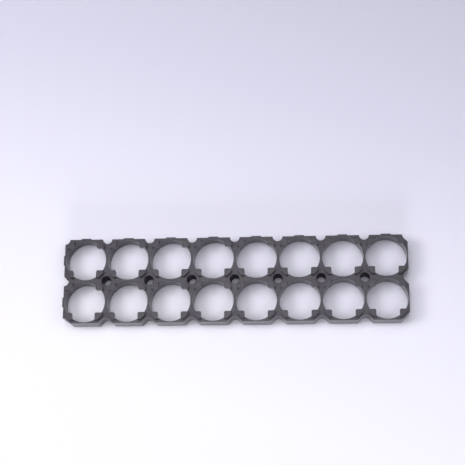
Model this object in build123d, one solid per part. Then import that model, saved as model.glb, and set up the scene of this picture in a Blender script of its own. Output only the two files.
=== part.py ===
"""Cell holder bracket: one moulded plate that spaces and ends a 2 x 8 block of 18650 cells.

The plate lies on its mouth side (z = 0).  Cells enter from below and stop against four
corner tabs that stand on the top face and reach over each pocket.  Rows run along X,
columns along Y.
"""
from build123d import *
import os

os.makedirs("parts", exist_ok=True)

# ---------------------------------------------------------------- cells and grid
COLUMNS = 8
ROWS = 2
CELL_DIA = 18.3          # sleeved 18650 cell
CELL_CLEARANCE = 0.3     # on the diameter, cell in pocket
WEB = 0.9                # thinnest wall between two pockets

POCKET_R = (CELL_DIA + CELL_CLEARANCE) / 2
PITCH = 2 * POCKET_R + WEB
LENGTH = COLUMNS * PITCH
WIDTH = ROWS * PITCH

# ---------------------------------------------------------------- plate
PLATE_H = 8.6
MOUTH_LEAD = 0.3         # lead-in at each pocket mouth

# ---------------------------------------------------------------- corner tabs
TAB_INSET = 5.2          # from the pocket centre lines to the tab's two straight sides
TAB_REACH = 8.5          # outer limit of a tab, from the same centre lines
TAB_T = 1.8              # the tabs stand this far above the plate
TAB_CUT = 2.0            # 45 degree cut across a tab's outer corner
TAB_CORNER_R = 0.7

# ---------------------------------------------------------------- tie bolts
BOLT_DIA = 4.0
BOLT_CLEARANCE = 0.3     # on the diameter
BOLT_R = (BOLT_DIA + BOLT_CLEARANCE) / 2

# ---------------------------------------------------------------- perimeter
NOTCH_R = 2.2            # half-round reliefs on the pad sides (back and left)
VEE_R = 2.45             # root radius of the flared reliefs (front and right)
VEE_EASE = 1.0           # their mouths are rounded over by this radius
PAD_W = 4.7              # spacer pads at each cell on the back and left sides
PAD_PROUD = 0.45
PAD_EDGE = 0.3           # small cut on the pads' upright edges


def column_x(i):
    return (i - (COLUMNS - 1) / 2) * PITCH


def row_y(j):
    return (j - (ROWS - 1) / 2) * PITCH


POCKETS = [(column_x(i), row_y(j)) for j in range(ROWS) for i in range(COLUMNS)]
BOLTS = [(column_x(i) + PITCH / 2, row_y(j) + PITCH / 2)
         for j in range(ROWS - 1) for i in range(COLUMNS - 1)]

GRID_X = [column_x(i) + PITCH / 2 for i in range(COLUMNS - 1)]
GRID_Y = [row_y(j) + PITCH / 2 for j in range(ROWS - 1)]
BACK, FRONT = WIDTH / 2, -WIDTH / 2
RIGHT, LEFT = LENGTH / 2, -LENGTH / 2


def vee(turn):
    """Flared relief opening towards -Y before the turn: a round root with 45 degree flanks."""
    tangent = VEE_R / 2 ** 0.5
    mouth = VEE_R * 2 ** 0.5
    flanks = Polygon((-tangent, tangent), (tangent, tangent), (mouth, 0), (mouth, -1),
                     (-mouth, -1), (-mouth, 0), align=None)
    return Rot(0, 0, turn) * (Circle(VEE_R) + flanks)


def spacer_pad(turn):
    """Pad facing +Y before the turn, its face on the origin and its root inside the plate."""
    half = PAD_W / 2
    root = -(PAD_PROUD + WEB / 4)
    pad = Polygon((-half, root), (half, root), (half, -PAD_EDGE), (half - PAD_EDGE, 0),
                  (PAD_EDGE - half, 0), (-half, -PAD_EDGE), align=None)
    return Rot(0, 0, turn) * pad


def outline():
    """Plate seen from above, with its reliefs and spacer pads."""
    flat = Rectangle(LENGTH, WIDTH)
    for i in range(COLUMNS):
        flat += Pos(column_x(i), BACK + PAD_PROUD) * spacer_pad(0)
    for j in range(ROWS):
        flat += Pos(LEFT - PAD_PROUD, row_y(j)) * spacer_pad(90)
    # pad sides: plain half rounds on the grid, a quarter round where they meet
    for x in [LEFT] + GRID_X + [RIGHT]:
        flat -= Pos(x, BACK) * Circle(NOTCH_R)
    for y in GRID_Y + [FRONT]:
        flat -= Pos(LEFT, y) * Circle(NOTCH_R)
    # plain sides: flared reliefs
    for x in [LEFT] + GRID_X + [RIGHT]:
        flat -= Pos(x, FRONT) * vee(0)
    for y in [FRONT] + GRID_Y + [BACK]:
        flat -= Pos(RIGHT, y) * vee(90)
    mouths = [v for v in flat.vertices() if abs(v.Y - FRONT) < 0.01 or abs(v.X - RIGHT) < 0.01]
    return fillet(mouths, VEE_EASE)


def tab_shape(sx, sy):
    """One corner tab seen from above, in the quadrant (sx, sy) of a pocket."""
    corner = Polygon((TAB_INSET, TAB_INSET), (TAB_REACH, TAB_INSET),
                     (TAB_REACH, TAB_REACH - TAB_CUT), (TAB_REACH - TAB_CUT, TAB_REACH),
                     (TAB_INSET, TAB_REACH), align=None)
    inner = corner.vertices().sort_by_distance((0, 0))[0]
    corner = fillet(inner, TAB_CORNER_R)
    turn = {(1, 1): 0, (-1, 1): 90, (-1, -1): 180, (1, -1): 270}[(sx, sy)]
    return Rot(0, 0, turn) * corner


def build():
    upright = (Align.CENTER, Align.CENTER, Align.MIN)
    pocket = Cylinder(POCKET_R, PLATE_H, align=upright)
    pocket += Cone(POCKET_R + MOUTH_LEAD, POCKET_R, MOUTH_LEAD, align=upright)
    bolt = Cylinder(BOLT_R, PLATE_H, align=upright)

    plate = extrude(outline(), PLATE_H)
    plate -= [Pos(x, y) * pocket for x, y in POCKETS]
    plate -= [Pos(x, y) * bolt for x, y in BOLTS]

    quarters = [(1, 1), (-1, 1), (-1, -1), (1, -1)]
    tabs = [Pos(x, y, PLATE_H) * extrude(tab_shape(sx, sy), TAB_T)
            for x, y in POCKETS for sx, sy in quarters]
    return plate + tabs


bracket = build().solids()[0]
export_step(bracket, "parts/cell_holder_bracket.step")
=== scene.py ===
"""Looks of the cell holder bracket: moulded black plastic on a pale table under soft light."""

import bpy
from mathutils import Matrix, Vector

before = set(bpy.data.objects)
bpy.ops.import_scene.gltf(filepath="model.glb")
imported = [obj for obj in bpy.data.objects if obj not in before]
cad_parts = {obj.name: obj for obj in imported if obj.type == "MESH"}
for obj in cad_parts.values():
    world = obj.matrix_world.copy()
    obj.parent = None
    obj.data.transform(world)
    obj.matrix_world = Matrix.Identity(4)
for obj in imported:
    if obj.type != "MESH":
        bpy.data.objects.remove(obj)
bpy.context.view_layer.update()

# metres
PITCH = 0.0195           # pocket spacing
BOLT_BORE = 0.00215      # radius of the tie-bolt bores
BORE_MARGIN = 0.0002     # the dull finish reaches this far past a bore
CORNER_R = 0.0002        # wear on the part's corners
GRAIN_DEPTH = 0.0001
TABLE_HALF = 1.5
TABLE_GAP = 0.00005      # table top below the part's resting face

# roughness
SATIN_LOW, SATIN_HIGH = 0.23, 0.47     # level faces, over the flow marks
WALL_ROUGH = 0.16
BORE_ROUGH = 0.6
TABLE_ROUGH = 0.6

PLASTIC_IOR = 1.45
GRAIN_STRENGTH = 0.15


# ------------------------------------------------------------------ node helpers
def principled(name):
    """A node material with its node tree and its shader."""
    mat = bpy.data.materials.new(name)
    mat.use_nodes = True
    tree = mat.node_tree
    return mat, tree, tree.nodes["Principled BSDF"]


def add(tree, kind, **settings):
    """A shader node with some of its inputs set; an underscore stands for a space."""
    node = tree.nodes.new("ShaderNode" + kind)
    for socket, value in settings.items():
        node.inputs[socket.replace("_", " ")].default_value = value
    return node


def calc(tree, operation, *inputs):
    """Result of a maths node, fed with numbers and other nodes' outputs."""
    node = add(tree, "Math")
    node.operation = operation
    for socket, value in zip(node.inputs, inputs):
        if isinstance(value, (int, float)):
            socket.default_value = value
        else:
            tree.links.new(value, socket)
    return node.outputs["Value"]


# ------------------------------------------------------------------ bracket
def moulded_plastic():
    """Dark plastic: a satin top with fine grain and flow marks, smooth walls, dull bolt bores."""
    mat, tree, bsdf = principled("bracket_plastic_look")
    link = tree.links.new
    coord = add(tree, "TexCoord")

    grain = add(tree, "TexNoise", Scale=2600, Detail=3)
    link(coord.outputs["Object"], grain.inputs["Vector"])
    flow = add(tree, "TexNoise", Scale=85, Detail=4, Distortion=0.6)
    link(coord.outputs["Object"], flow.inputs["Vector"])

    tint = add(tree, "ValToRGB")
    dark, pale = tint.color_ramp.elements
    dark.position, dark.color = 0.3, (0.012, 0.010, 0.013, 1)
    pale.position, pale.color = 0.7, (0.056, 0.047, 0.061, 1)
    link(flow.outputs["Fac"], tint.inputs["Fac"])
    link(tint.outputs["Color"], bsdf.inputs["Base Color"])

    # 1 on faces that look straight up or down, 0 on upright walls
    facing = add(tree, "SeparateXYZ")
    link(coord.outputs["Normal"], facing.inputs["Vector"])
    level = calc(tree, "ABSOLUTE", facing.outputs["Z"])

    satin = add(tree, "MapRange", From_Min=0.3, From_Max=0.7, To_Min=SATIN_LOW, To_Max=SATIN_HIGH)
    link(flow.outputs["Fac"], satin.inputs["Value"])
    gloss = add(tree, "Mix", A=WALL_ROUGH)
    link(level, gloss.inputs["Factor"])
    link(satin.outputs["Result"], gloss.inputs["B"])

    # the tie-bolt bores stand on the middle line at every pitch
    place = add(tree, "SeparateXYZ")
    link(coord.outputs["Object"], place.inputs["Vector"])
    from_axis = add(tree, "CombineXYZ")
    link(calc(tree, "WRAP", place.outputs["X"], PITCH / 2, -PITCH / 2), from_axis.inputs["X"])
    link(place.outputs["Y"], from_axis.inputs["Y"])
    reach = add(tree, "VectorMath")
    reach.operation = "LENGTH"
    link(from_axis.outputs["Vector"], reach.inputs[0])
    in_bore = calc(tree, "LESS_THAN", reach.outputs["Value"], BOLT_BORE + BORE_MARGIN)
    dull = add(tree, "Mix", B=BORE_ROUGH)
    link(in_bore, dull.inputs["Factor"])
    link(gloss.outputs["Result"], dull.inputs["A"])
    link(dull.outputs["Result"], bsdf.inputs["Roughness"])
    bsdf.inputs["IOR"].default_value = PLASTIC_IOR

    # corners worn very slightly round, which catches a thin line of light; grain on level faces
    corner = add(tree, "Bevel", Radius=CORNER_R)
    corner.samples = 6
    bump = add(tree, "Bump", Distance=GRAIN_DEPTH)
    link(corner.outputs["Normal"], bump.inputs["Normal"])
    link(calc(tree, "MULTIPLY", level, GRAIN_STRENGTH), bump.inputs["Strength"])
    link(grain.outputs["Fac"], bump.inputs["Height"])
    link(bump.outputs["Normal"], bsdf.inputs["Normal"])
    return mat


plastic = moulded_plastic()
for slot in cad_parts["cell_holder_bracket"].material_slots:
    slot.material = plastic


# ------------------------------------------------------------------ table
def table_with_painted_falloff():
    """White in front, as the table is, with painted shade: it turns to a cool lavender grey
    towards the back and the right, standing in for the light falling off there.
    """
    mat, tree, bsdf = principled("table_look")
    link = tree.links.new
    coord = add(tree, "TexCoord")
    place = add(tree, "SeparateXYZ")
    link(coord.outputs["Object"], place.inputs["Vector"])

    # depth behind the bracket, in metres, plus a part of the way to the right
    depth = calc(tree, "MULTIPLY_ADD", place.outputs["X"], 0.28, place.outputs["Y"])
    span = add(tree, "MapRange", From_Min=-0.06, From_Max=0.20)
    link(depth, span.inputs["Value"])

    # painted shade: this ramp darkens the white table towards the back and the right, in place of
    # light falling off there
    falloff_ramp = add(tree, "ValToRGB")
    front, rear = falloff_ramp.color_ramp.elements
    front.position, front.color = 0, (0.97, 0.97, 0.98, 1)
    rear.position, rear.color = 1, (0.60, 0.60, 0.69, 1)
    for position, colour in ((0.25, (0.90, 0.90, 0.97, 1)), (0.6, (0.73, 0.73, 0.83, 1))):
        falloff_ramp.color_ramp.elements.new(position).color = colour
    link(span.outputs["Result"], falloff_ramp.inputs["Fac"])
    link(falloff_ramp.outputs["Color"], bsdf.inputs["Base Color"])
    bsdf.inputs["Roughness"].default_value = TABLE_ROUGH
    return mat


def table_top():
    """Level square under the bracket."""
    corners = [(-TABLE_HALF, -TABLE_HALF, 0), (TABLE_HALF, -TABLE_HALF, 0),
               (TABLE_HALF, TABLE_HALF, 0), (-TABLE_HALF, TABLE_HALF, 0)]
    mesh = bpy.data.meshes.new("table")
    mesh.from_pydata(corners, [], [(0, 1, 2, 3)])
    obj = bpy.data.objects.new("table", mesh)
    bpy.context.collection.objects.link(obj)
    mesh.materials.append(table_with_painted_falloff())
    obj.location.z = -TABLE_GAP


table_top()

# ------------------------------------------------------------------ light
LAMP_COLOUR = (1.0, 0.985, 1.06)
LAMPS = (
    # name, place (m), side (m), power (W)
    ("top", (0, 0, 1.2), 0.5, 2.7),
    ("top_back", (-0.1, 0.35, 1.15), 0.5, 2.1),
    ("top_left", (-0.4, 0, 1.15), 0.4, 1.0),
    ("top_front", (0.35, -0.35, 1.1), 0.4, 1.4),
    ("left", (-0.8, 0, 1.0), 0.5, 6.4),
    ("right", (0.8, 0, 1.0), 0.5, 1.6),
    ("front_low", (0, -1.2, 0.45), 0.4, 4.8),
)


def soft_light(name, place, side, power):
    """Square lamp aimed at the bracket."""
    data = bpy.data.lights.new(name, "AREA")
    data.shape = "SQUARE"
    data.size = side
    data.energy = power
    data.color = LAMP_COLOUR
    obj = bpy.data.objects.new(name, data)
    bpy.context.collection.objects.link(obj)
    obj.location = place
    obj.rotation_euler = Vector(place).to_track_quat("Z", "Y").to_euler()


for lamp in LAMPS:
    soft_light(*lamp)

world = bpy.data.worlds.new("studio")
bpy.context.scene.world = world
world.use_nodes = True
sky = world.node_tree.nodes["Background"]
sky.inputs["Color"].default_value = (0.95, 0.94, 1.0, 1)
sky.inputs["Strength"].default_value = 0.07


# ------------------------------------------------------------------ camera
def viewpoint():
    """Camera in front of and above the bracket, turned a little to the left."""
    lens = bpy.data.cameras.new("camera")
    lens.sensor_width = 36
    lens.lens = 95.55
    lens.clip_start = 0.01
    eye = bpy.data.objects.new("camera", lens)
    bpy.context.collection.objects.link(eye)
    right = Vector((0.996929, 0.002856, -0.078264))
    up = Vector((0.017681, 0.965326, 0.260449))
    back = Vector((0.076294, -0.261033, 0.96231))
    turn = Matrix((right, up, back)).transposed().to_4x4()
    eye.matrix_world = Matrix.Translation((0.041896, -0.125126, 0.549969)) @ turn
    return eye


bpy.context.scene.camera = viewpoint()
bpy.context.scene.view_settings.view_transform = "Standard"
